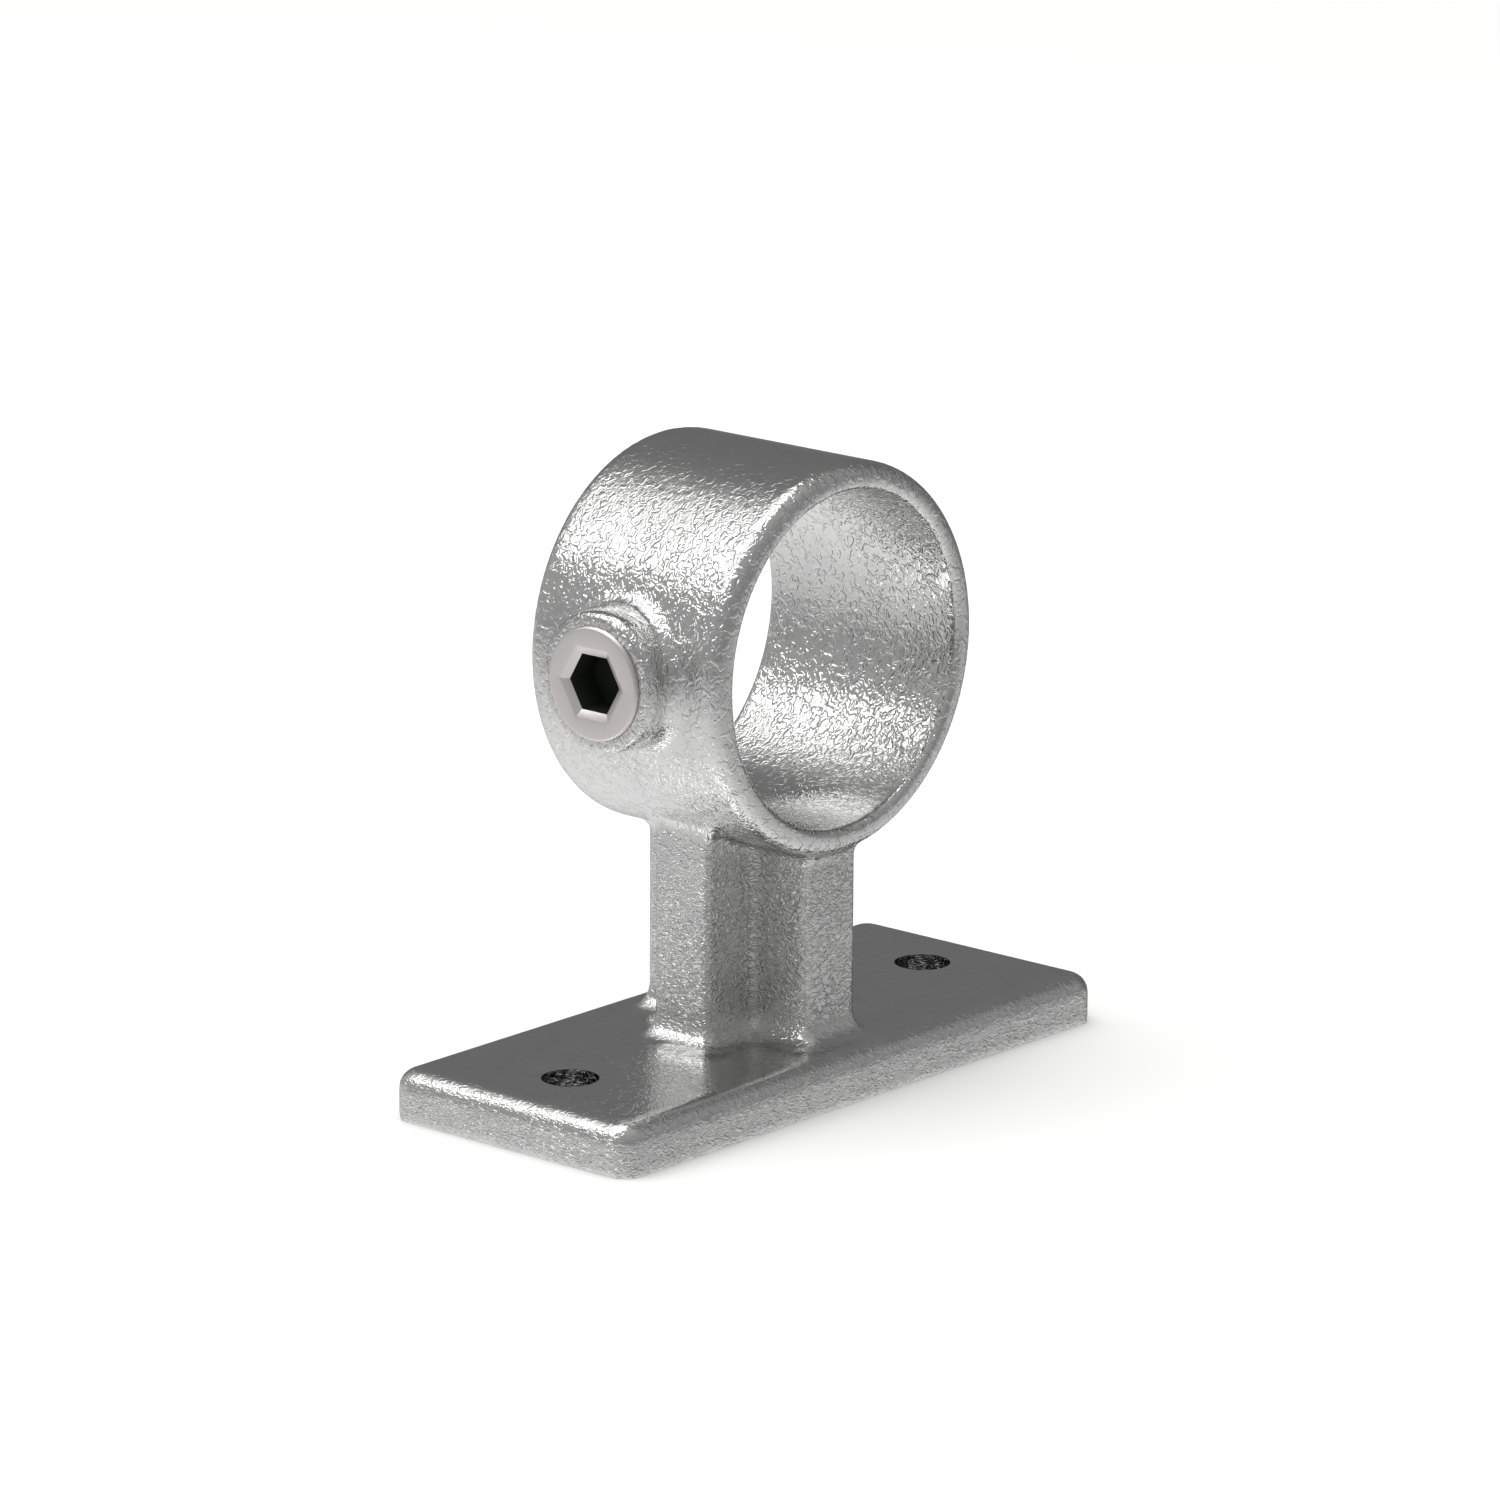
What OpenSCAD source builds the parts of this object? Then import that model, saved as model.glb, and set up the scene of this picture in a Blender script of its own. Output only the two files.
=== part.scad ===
// Handrail bracket: a cast base plate, a stem of cross section and a collar that the rail
// passes through, with a set screw in a boss on the collar's side.
// Origin: centre of the plate's underside. +X runs along the rail, +Y along the plate's
// length, +Z up. The screw is on the -Y side. Millimetres.

/* [Base plate] */
// Length of the plate, along the line of its two holes
base_l = 105; // [96:1:130]
// Width of the plate, along the rail
base_w = 45; // [42:1:60]
// Thickness of the plate
base_t = 7.5; // [6:0.5:10]
// Radius of the plate's corners in plan
base_corner_r = 3.5; // [3:0.5:8]
// Rounding of the plate's top edge
base_edge_r = 3; // [1:0.5:3]
// Distance between the centres of the two fixing holes
hole_pitch = 78; // [66:1:80]
// Diameter of each fixing hole
hole_d = 8.2; // [6:0.1:11]

/* [Stem] */
// Length across the pair of ribs that lie along the plate
long_rib_l = 31; // [27:0.5:36]
// Thickness of the ribs that lie along the plate
long_rib_t = 10; // [8:0.5:13]
// Length across the pair of ribs that lie along the rail
cross_rib_l = 30.4; // [26:0.2:32]
// Thickness of the ribs that lie along the rail
cross_rib_t = 10.6; // [8:0.2:13]
// Rounding of the ribs' outer arrises
rib_arris_r = 0.4; // [0.2:0.1:1.2]
// Fillet in the four inner corners between the ribs
rib_inner_r = 1.5; // [0.5:0.5:3]
// Fillet between the stem and the plate
root_r = 3.5; // [1:0.5:4.5]
// Fillet between the stem and the collar
crown_r = 2.5; // [1:0.5:4]
// Fillet between the ends of the ribs along the rail and the collar's rims
crown_end_r = 1.8; // [0.6:0.2:3]

/* [Collar] */
// Outside diameter of the rail that the collar takes
rail_d = 48.3; // [42.4:0.1:50]
// Radial clearance between the rail and the bore
rail_clear = 0.35; // [0.2:0.05:0.6]
// Wall of the collar
collar_wall = 4; // [4:0.5:7]
// Width of the collar along the rail
collar_w = 36; // [34:1:50]
// Height of the bore's axis above the plate's underside
bore_h = 64; // [56:1:90]
// Rounding of the collar's outer rims
collar_edge_r = 2.4; // [0.5:0.1:2.8]
// Rounding of the bore's mouths
bore_edge_r = 0.8; // [0.2:0.1:1]

/* [Screw boss] */
// Diameter of the boss around the set screw
boss_d = 20.6; // [20:0.2:22]
// How far the boss stands out from the collar
boss_proj = 5.3; // [4:0.1:8]
// Rounding of the boss's rim
boss_edge_r = 1.2; // [0.4:0.1:1.2]
// Fillet between the boss and the collar
boss_blend_r = 2.5; // [1:0.5:3]
// Chamfer at the mouth of the tapped hole
tap_chamfer = 0.4; // [0.1:0.1:0.6]

/* [Set screw] */
// Diameter over the screw's thread
screw_d = 16.5; // [15:0.1:17]
// Radial clearance between the screw and its hole
screw_clear = 0.05; // [0.02:0.01:0.1]
// How far the screw's face stands out of the boss
screw_proud = 0.7; // [0:0.1:2]
// How far the screw's tip lies behind the bore's wall before it is tightened
tip_gap = 0.2; // [0.1:0.1:1]
// Rounding of the rim of the screw's face
screw_rim_r = 0.5; // [0.2:0.1:0.8]
// Chamfer at the screw's tip
tip_chamfer = 1.2; // [0.5:0.1:2]
// Size of the hexagon socket across its flats
hex_af = 8; // [6:0.5:9]
// Depth of the hexagon socket
hex_depth = 5.5; // [4:0.5:6]
// Size of the socket's chamfered mouth across its flats
hex_mouth_af = 10.4; // [9.4:0.1:11]
// Depth of the chamfer at the socket's mouth
hex_mouth_depth = 0.6; // [0.2:0.1:1.2]
// Diameter of the cup in the screw's tip
cup_d = 9; // [6:0.5:11]
// Depth of the cup in the screw's tip
cup_depth = 1.5; // [0.5:0.1:1.6]

/* [Hidden] */
$fn = 96;
// How far cutters reach past the faces they open
over = 2;
// How far one solid reaches into the next, so that they join
bite = 0.5;
// How far the collar's fillets start inside the surfaces that they join
sink = 0.02;
// Steps of the boss's fillet, around the boss and across the fillet
blend_around = 72;
blend_across = 8;

bore_r = rail_d / 2 + rail_clear;
collar_r = bore_r + collar_wall;
boss_r = boss_d / 2;
screw_r = screw_d / 2;
tap_r = screw_r + screw_clear;
// Distances from the bore's axis, along the screw
boss_face = collar_r + boss_proj;
screw_face = boss_face + screw_proud;
screw_tip = bore_r + tip_gap;
screw_l = screw_face - screw_tip;

// Concave fillet in the corner of two straight edges that start at the origin
module fillet_2d(r) {
    difference() {
        translate([-bite, -bite]) square(r + bite);
        translate([r, r]) circle(r);
    }
}

// Turns a half section, drawn from the bore's axis outwards, round that axis
module about_bore() {
    translate([0, 0, bore_h]) rotate([0, -90, 0]) rotate_extrude() children();
}

// Half of a round bar's section, from its axis outwards, with its two rims rounded
module rounded_half_section(r, w, edge) {
    difference() {
        translate([0, -w / 2]) square([r, w]);
        for (s = [-1, 1])
            difference() {
                translate([r - edge, s > 0 ? w / 2 - edge : -w / 2 - over]) square(edge + over);
                translate([r - edge, s * (w / 2 - edge)]) circle(edge);
            }
    }
}

// Section across a plate of width w, with both top edges rounded
module plate_section(w) {
    intersection() {
        translate([-w / 2, 0]) square([w, base_t]);
        union() {
            translate([-w / 2, 0]) square([w, base_t - base_edge_r]);
            translate([base_edge_r - w / 2, 0]) square([w - 2 * base_edge_r, base_t]);
            for (s = [-1, 1]) translate([s * (w / 2 - base_edge_r), base_t - base_edge_r])
                circle(base_edge_r);
        }
    }
}

module base_plate() {
    translate([0, base_l / 2 - base_corner_r, 0]) rotate([90, 0, 0])
        linear_extrude(base_l - 2 * base_corner_r) plate_section(base_w);
    translate([base_corner_r - base_w / 2, 0, 0]) rotate([90, 0, 90])
        linear_extrude(base_w - 2 * base_corner_r) plate_section(base_l);
    for (sx = [-1, 1], sy = [-1, 1])
        translate([sx * (base_w / 2 - base_corner_r), sy * (base_l / 2 - base_corner_r), 0])
            rotate_extrude() intersection() {
                plate_section(2 * base_corner_r);
                square(base_corner_r + base_t);
            }
}

// Bar of a rib's plan, with its four arrises rounded
module rib_plan(lx, ly) {
    square([lx - 2 * rib_arris_r, ly], center = true);
    square([lx, ly - 2 * rib_arris_r], center = true);
    for (sx = [-1, 1], sy = [-1, 1])
        translate([sx * (lx / 2 - rib_arris_r), sy * (ly / 2 - rib_arris_r)])
            circle(rib_arris_r);
}

module stem_plan() {
    rib_plan(long_rib_t, long_rib_l);
    rib_plan(cross_rib_l, cross_rib_t);
    for (sx = [-1, 1], sy = [-1, 1]) scale([sx, sy])
        translate([long_rib_t / 2, cross_rib_t / 2]) fillet_2d(rib_inner_r);
}

// Fillet at the foot of one rib that reaches out to x = l / 2 and is t thick
module rib_root(l, t) {
    straight_x = l / 2 - rib_arris_r;
    straight_y = t / 2 - rib_arris_r;
    // Along the two sides
    for (sy = [-1, 1]) scale([1, sy, 1])
        translate([0, t / 2, base_t]) rotate([90, 0, 90])
            linear_extrude(straight_x) fillet_2d(root_r);
    // Across the end
    translate([l / 2, straight_y, base_t]) rotate([90, 0, 0])
        linear_extrude(2 * straight_y) fillet_2d(root_r);
    // Round the two arrises
    for (sy = [-1, 1])
        translate([straight_x, sy * straight_y, base_t])
            rotate_extrude() {
                translate([rib_arris_r, 0]) intersection() {
                    fillet_2d(root_r);
                    translate([-rib_arris_r, -bite]) square([rib_arris_r + root_r, root_r + bite]);
                }
                translate([0, -bite]) square([rib_arris_r, root_r + bite]);
            }
}

// Section across the rail: an upright bar that reaches y to each side and flares into the
// underside of the collar. Measured from the bore's axis.
module crown_section(y) {
    // A ball touches the bar's side and the collar's round
    rc = collar_r - sink;
    cy = y + crown_r;
    cz = -sqrt(pow(rc + crown_r, 2) - cy * cy);
    k = rc / (rc + crown_r);
    difference() {
        polygon([[-cy, cz], [cy, cz], [cy * k, cz * k], [-cy * k, cz * k]]);
        for (s = [-1, 1]) translate([s * cy, cz]) circle(crown_r);
    }
}

// Section along the rail, from the bore's axis outwards: a bar that reaches x to each side
// and flares into the collar with radius r, on its round or, further out, on its rims
module crown_ring(x, r) {
    rim = [collar_r - collar_edge_r, collar_w / 2 - collar_edge_r];
    edge = collar_edge_r - sink;
    cx = x + r;
    past = cx - rim[1];
    cr = rim[0] + (past > 0 ? sqrt(pow(edge + r, 2) - past * past) : edge + r);
    touch = past > 0 ? rim + ([cr, cx] - rim) * edge / (edge + r) : [cr - r, cx];
    difference() {
        for (s = [-1, 1]) scale([1, s])
            polygon([[bore_r, 0], [bore_r, touch[1]], touch, [cr, cx], [cr, x],
                     [collar_r + crown_r, x], [collar_r + crown_r, 0]]);
        for (s = [-1, 1]) translate([cr, s * cx]) circle(r);
    }
}

// Top of one pair of ribs, that reaches y across the rail and x along it
module crown(y, x, r) {
    intersection() {
        translate([-collar_w / 2, 0, bore_h]) rotate([90, 0, 90])
            linear_extrude(collar_w) crown_section(y);
        about_bore() crown_ring(x, r);
    }
}

module stem() {
    translate([0, 0, base_t - bite]) linear_extrude(bore_h - bore_r - base_t + collar_wall)
        stem_plan();
    for (a = [0, 180]) {
        rotate(a) rib_root(cross_rib_l, cross_rib_t);
        rotate(a + 90) rib_root(long_rib_l, long_rib_t);
    }
    crown(long_rib_l / 2, long_rib_t / 2, crown_r);
    crown(cross_rib_t / 2, cross_rib_l / 2, crown_end_r);
}

module collar() {
    about_bore() rounded_half_section(collar_r, collar_w, collar_edge_r);
}

// Fillet where the boss runs into the round of the collar: a ball of the fillet's radius
// rolls round the boss and touches boss and collar, and each slice is its arc between them
module boss_blend() {
    r = boss_blend_r;
    rb = boss_r - sink;
    rc = collar_r - sink;
    deep = 1.2;
    slices = [for (i = [0 : blend_around - 1])
        let (a = 360 * i / blend_around,
             u = [cos(a), sin(a)],
             cz = (rb + r) * u[1],
             cy = -sqrt(pow(rc + r, 2) - cz * cz),
             ball = [(rb + r) * u[0], cy, cz],
             to_boss = [-u[0], 0, -u[1]],
             to_collar = -[0, cy, cz] / (rc + r),
             w = acos(to_boss * to_collar),
             in_boss = rb - deep,
             in_collar = rc - deep)
        concat(
            [for (k = [0 : blend_across]) let (t = k / blend_across)
                ball + r * (sin((1 - t) * w) * to_boss + sin(t * w) * to_collar) / sin(w)],
            [[ball[0], cy * in_collar / (rc + r), cz * in_collar / (rc + r)],
             [in_boss * u[0], -sqrt(pow(in_collar, 2) - pow(in_boss * u[1], 2)),
              in_boss * u[1]],
             [in_boss * u[0], cy, in_boss * u[1]]])];
    n = len(slices[0]);
    m = len(slices);
    translate([0, 0, bore_h])
        polyhedron(points = [for (s = slices) for (p = s) p],
                   faces = [for (i = [0 : m - 1]) for (j = [0 : n - 1])
                       let (a = i * n + j, b = i * n + (j + 1) % n,
                            c = ((i + 1) % m) * n + (j + 1) % n, d = ((i + 1) % m) * n + j)
                       each [[a, b, c], [a, c, d]]]);
}

module boss() {
    // Half section from the boss's axis outwards, with its rim rounded
    translate([0, 0, bore_h]) rotate([90, 0, 0])
        rotate_extrude() difference() {
            translate([0, bore_r]) square([boss_r, boss_face - bore_r]);
            difference() {
                translate([boss_r - boss_edge_r, boss_face - boss_edge_r])
                    square(boss_edge_r + over);
                translate([boss_r - boss_edge_r, boss_face - boss_edge_r])
                    circle(boss_edge_r);
            }
        }
    boss_blend();
}

// Cutter of the bore, with the rounding of its two mouths
module bore_cutter() {
    about_bore() {
        translate([0, -collar_w / 2 - over]) square([bore_r, collar_w + 2 * over]);
        for (s = [-1, 1]) scale([1, s])
            difference() {
                translate([bore_r - bite, collar_w / 2 - bore_edge_r])
                    square([bore_edge_r + bite, bore_edge_r + over]);
                translate([bore_r + bore_edge_r, collar_w / 2 - bore_edge_r])
                    circle(bore_edge_r);
            }
    }
}

// Cutter of the tapped hole, with the chamfer at its mouth
module tap_cutter() {
    translate([0, 0, bore_h]) rotate([90, 0, 0]) {
        cylinder(r = tap_r, h = boss_face + over);
        translate([0, 0, boss_face - tap_chamfer])
            cylinder(r1 = tap_r, r2 = tap_r + tap_chamfer + over, h = tap_chamfer + over);
    }
}

module casting() {
    color("#a9adab") difference() {
        union() {
            base_plate();
            stem();
            collar();
            boss();
        }
        bore_cutter();
        tap_cutter();
        for (s = [-1, 1]) translate([0, s * hole_pitch / 2, -over])
            cylinder(d = hole_d, h = base_t + 2 * over);
    }
}

// Hexagonal cutter of the socket's chamfered mouth: three crossed bars of the same section
module hex_mouth() {
    reach = hex_mouth_depth + over;
    slope = (hex_mouth_af - hex_af) / 2 / hex_mouth_depth;
    low = hex_af / 2;
    high = low + slope * reach;
    intersection_for (a = [0, 60, 120]) rotate([0, 0, a])
        translate([-hex_mouth_af - over, 0, screw_l - hex_mouth_depth]) rotate([90, 0, 90])
            linear_extrude(2 * (hex_mouth_af + over))
                polygon([[-low, 0], [low, 0], [high, reach], [-high, reach]]);
}

module set_screw() {
    color("#c9c5c2") translate([0, -screw_tip, bore_h]) rotate([90, 0, 0]) difference() {
        // Turned body from the cup at the tip to the rounded rim of the face
        rotate_extrude() difference() {
            polygon([[0, cup_depth], [cup_d / 2, 0], [screw_r - tip_chamfer, 0],
                     [screw_r, tip_chamfer], [screw_r, screw_l], [0, screw_l]]);
            difference() {
                translate([screw_r - screw_rim_r, screw_l - screw_rim_r])
                    square(screw_rim_r + over);
                translate([screw_r - screw_rim_r, screw_l - screw_rim_r])
                    circle(screw_rim_r);
            }
        }
        translate([0, 0, screw_l - hex_depth])
            cylinder(d = hex_af / cos(30), h = hex_depth + over, $fn = 6);
        hex_mouth();
    }
}

casting();
set_screw();
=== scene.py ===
"""Finish of the handrail bracket: the galvanised casting, its set screw and a plain studio."""

import math

import bmesh
import bpy
from mathutils import Matrix, Vector


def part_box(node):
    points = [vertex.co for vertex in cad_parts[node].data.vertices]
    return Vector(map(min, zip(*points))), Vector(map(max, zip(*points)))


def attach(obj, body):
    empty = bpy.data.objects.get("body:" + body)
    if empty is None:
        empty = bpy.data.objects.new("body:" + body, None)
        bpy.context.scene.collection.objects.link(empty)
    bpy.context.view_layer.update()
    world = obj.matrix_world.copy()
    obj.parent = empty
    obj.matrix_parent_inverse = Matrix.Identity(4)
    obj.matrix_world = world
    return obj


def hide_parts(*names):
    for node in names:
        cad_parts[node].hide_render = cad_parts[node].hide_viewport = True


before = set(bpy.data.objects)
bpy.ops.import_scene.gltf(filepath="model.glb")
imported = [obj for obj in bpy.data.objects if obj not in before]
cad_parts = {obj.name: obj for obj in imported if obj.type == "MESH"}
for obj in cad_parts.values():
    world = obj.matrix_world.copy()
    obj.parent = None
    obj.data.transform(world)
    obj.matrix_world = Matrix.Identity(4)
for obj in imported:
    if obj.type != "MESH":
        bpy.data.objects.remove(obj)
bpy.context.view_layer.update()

bl_info = {
    "name": "Handrail Bracket Finish",
    "version": (1, 0, 0),
    "blender": (4, 5, 0),
    "location": "3D View > Sidebar > Bracket",
    "description": "Gives the handrail bracket its galvanised casting and its threaded set screw",
    "category": "Object",
}

SCREW_LOW, SCREW_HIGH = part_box("set_screw")
# Height of the two axes that cross in the collar: the screw's and the bore's
AXIS_HEIGHT = (SCREW_LOW[2] + SCREW_HIGH[2]) / 2


class CastingSettings(bpy.types.PropertyGroup):
    """Sizes and colours of the galvanised casting"""

    grain: bpy.props.FloatProperty(
        name="Mesh Grain",
        description="Spacing of the mesh that softens the casting's arrises as the zinc does",
        default=0.0006, min=0.0004, max=0.002, precision=5, subtype="DISTANCE", unit="LENGTH")
    soften: bpy.props.IntProperty(
        name="Softening",
        description="Passes that even out the skin between two points of the mesh",
        default=1, min=0, max=20)
    zinc: bpy.props.StringProperty(
        name="Zinc Colour",
        description="Colour of the bright zinc, as an sRGB hex value",
        default="#e4e4e3")
    zinc_dull: bpy.props.StringProperty(
        name="Dull Zinc Colour",
        description="Colour of the zinc's duller clouds, as an sRGB hex value",
        default="#d0d1d0")
    ripple_length: bpy.props.FloatProperty(
        name="Ripple Length",
        description="Distance between two ripples of the zinc",
        default=0.0011, min=0.0003, max=0.004, precision=5, subtype="DISTANCE", unit="LENGTH")
    ripple_height: bpy.props.FloatProperty(
        name="Ripple Height",
        description="Height of the ripples of the zinc",
        default=0.00023, min=0.0, max=0.002, precision=6, subtype="DISTANCE", unit="LENGTH")
    # The screw holes' walls are darkened with painted shade, which stands in for the shade down in
    # the holes
    hole_pitch: bpy.props.FloatProperty(
        name="Hole Pitch",
        description="Distance between the two screw holes, whose walls stay dark and rough",
        default=0.078, min=0.05, max=0.1, precision=5, subtype="DISTANCE", unit="LENGTH")
    hole_size: bpy.props.FloatProperty(
        name="Hole Size",
        description="Diameter of the screw holes",
        default=0.0082, min=0.004, max=0.012, precision=5, subtype="DISTANCE", unit="LENGTH")
    tap_size: bpy.props.FloatProperty(
        name="Tap Size",
        description="Diameter of the tapped hole that takes the set screw",
        default=0.0166, min=0.010, max=0.020, precision=5, subtype="DISTANCE", unit="LENGTH")
    plate_top: bpy.props.FloatProperty(
        name="Plate Top",
        description="Height of the plate's level top, where the screw holes open",
        default=0.0075, min=0.004, max=0.015, precision=5, subtype="DISTANCE", unit="LENGTH")
    boss_face: bpy.props.FloatProperty(
        name="Boss Face",
        description="Distance of the boss's face from the middle of the bracket",
        default=0.0338, min=0.025, max=0.045, precision=5, subtype="DISTANCE", unit="LENGTH")
    bore_size: bpy.props.FloatProperty(
        name="Bore Size",
        description="Diameter of the collar's bore",
        default=0.049, min=0.03, max=0.06, precision=5, subtype="DISTANCE", unit="LENGTH")
    gloss: bpy.props.FloatProperty(
        name="Roughness",
        description="Roughness of the zinc between its ripples",
        default=0.06, min=0.02, max=1.0, subtype="FACTOR")


class SetScrewSettings(bpy.types.PropertyGroup):
    """Sizes and colours of the set screw"""

    pitch: bpy.props.FloatProperty(
        name="Thread Pitch",
        description="Distance between two turns of the thread",
        default=0.001337, min=0.0008, max=0.002, precision=6, subtype="DISTANCE", unit="LENGTH")
    thread_depth: bpy.props.FloatProperty(
        name="Thread Depth",
        description="Height of the thread from its root to its crest",
        default=0.0008, min=0.0003, max=0.0012, precision=5, subtype="DISTANCE", unit="LENGTH")
    head_land: bpy.props.FloatProperty(
        name="Plain Land",
        description="Length of the plain land between the screw's face and its thread",
        default=0.0016, min=0.0008, max=0.004, precision=5, subtype="DISTANCE", unit="LENGTH")
    rim_radius: bpy.props.FloatProperty(
        name="Rim Radius",
        description="Rounding of the rim of the screw's face",
        default=0.0005, min=0.0001, max=0.001, precision=5, subtype="DISTANCE", unit="LENGTH")
    hex_flats: bpy.props.FloatProperty(
        name="Socket Across Flats",
        description="Size of the hexagon socket across its flats",
        default=0.008, min=0.005, max=0.010, precision=5, subtype="DISTANCE", unit="LENGTH")
    hex_depth: bpy.props.FloatProperty(
        name="Socket Depth",
        description="Depth of the hexagon socket",
        default=0.0055, min=0.003, max=0.006, precision=5, subtype="DISTANCE", unit="LENGTH")
    mouth_flats: bpy.props.FloatProperty(
        name="Mouth Across Flats",
        description="Size of the socket's chamfered mouth across its flats",
        default=0.0104, min=0.006, max=0.012, precision=5, subtype="DISTANCE", unit="LENGTH")
    mouth_depth: bpy.props.FloatProperty(
        name="Mouth Depth",
        description="Depth of the chamfer at the socket's mouth",
        default=0.0006, min=0.0002, max=0.0015, precision=5, subtype="DISTANCE", unit="LENGTH")
    cup_diameter: bpy.props.FloatProperty(
        name="Cup Diameter",
        description="Diameter of the cup in the screw's tip",
        default=0.009, min=0.005, max=0.012, precision=5, subtype="DISTANCE", unit="LENGTH")
    cup_depth: bpy.props.FloatProperty(
        name="Cup Depth",
        description="Depth of the cup in the screw's tip",
        default=0.0015, min=0.0005, max=0.002, precision=5, subtype="DISTANCE", unit="LENGTH")
    tip_chamfer: bpy.props.FloatProperty(
        name="Tip Chamfer",
        description="Chamfer at the screw's tip",
        default=0.0012, min=0.0003, max=0.002, precision=5, subtype="DISTANCE", unit="LENGTH")
    plating: bpy.props.StringProperty(
        name="Plating Colour",
        description="Colour of the satin plating, as an sRGB hex value",
        default="#e5e0dd")
    # Near-black of the socket's walls: painted shade that stands in for the shade deep in the
    # socket
    socket_shade_colour: bpy.props.StringProperty(
        name="Socket Colour",
        description="Colour of the oxide in the socket, as an sRGB hex value",
        default="#1c201c")


class StudioSettings(bpy.types.PropertyGroup):
    """Sizes, colours and powers of the studio"""

    floor_radius: bpy.props.FloatProperty(
        name="Floor Radius",
        description="Radius of the round floor",
        default=3.0, min=0.5, max=10.0, subtype="DISTANCE", unit="LENGTH")
    floor_colour: bpy.props.StringProperty(
        name="Floor Colour",
        description="Colour of the floor, as an sRGB hex value",
        default="#eeeeec")
    softbox_power: bpy.props.FloatProperty(
        name="Softbox Power",
        description="Power of the large softbox overhead, to the left",
        default=7.5, min=0.0, max=500.0, unit="POWER")
    fill_power: bpy.props.FloatProperty(
        name="Overhead Fill Power",
        description="Power of the overhead fill, that only soft surfaces see",
        default=11.5, min=0.0, max=500.0, unit="POWER")
    room_light: bpy.props.FloatProperty(
        name="Room Light",
        description="Light that the room throws on soft surfaces",
        default=0.85, min=0.0, max=2.0, subtype="FACTOR")


def linear(hex_colour):
    """Linear RGBA of an sRGB hex value such as #8090a0"""
    shares = [int(hex_colour[i:i + 2], 16) / 255 for i in (1, 3, 5)]
    return [c / 12.92 if c <= 0.04045 else ((c + 0.055) / 1.055) ** 2.4 for c in shares] + [1.0]


def add_node(tree, kind, inputs=None, **settings):
    """Adds a node with its settings; an input is a value or another node's output"""
    node = tree.nodes.new(kind)
    for name, value in settings.items():
        setattr(node, name, value)
    for name, value in (inputs or {}).items():
        if isinstance(value, bpy.types.NodeSocket):
            tree.links.new(value, node.inputs[name])
        else:
            node.inputs[name].default_value = value
    return node


def new_material(name):
    """An empty node material, with its tree"""
    material = bpy.data.materials.new(name)
    material.use_nodes = True
    material.node_tree.nodes.clear()
    return material, material.node_tree


def new_piece(name, bm, material):
    """A smooth-shaded object made from a bmesh, with one material"""
    mesh = bpy.data.meshes.new(name)
    bm.to_mesh(mesh)
    bm.free()
    mesh.materials.append(material)
    mesh.shade_smooth()
    piece = bpy.data.objects.new(name, mesh)
    bpy.context.scene.collection.objects.link(piece)
    return piece


def add_rod(bm, start, end, radius):
    """Adds a closed round rod between two points"""
    start, end = Vector(start), Vector(end)
    place = (end - start).to_track_quat("Z", "Y").to_matrix().to_4x4()
    place.translation = (start + end) / 2
    bmesh.ops.create_cone(bm, cap_ends=True, segments=96, radius1=radius, radius2=radius,
                          depth=(end - start).length, matrix=place)


def apply_modifiers(piece):
    """Puts the result of the piece's modifiers into its mesh"""
    bpy.context.view_layer.update()
    shown = piece.evaluated_get(bpy.context.evaluated_depsgraph_get())
    mesh = bpy.data.meshes.new_from_object(shown)
    old = piece.data
    piece.modifiers.clear()
    piece.data = mesh
    mesh.name = piece.name
    bpy.data.meshes.remove(old)


def combine(piece, tool, operation):
    """Adds the tool to the piece, cuts it away or keeps what they share; the tool is used up"""
    modifier = piece.modifiers.new(operation, "BOOLEAN")
    modifier.operation = operation
    modifier.solver = "EXACT"
    modifier.object = tool
    apply_modifiers(piece)
    mesh = tool.data
    bpy.data.objects.remove(tool)
    bpy.data.meshes.remove(mesh)


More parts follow.
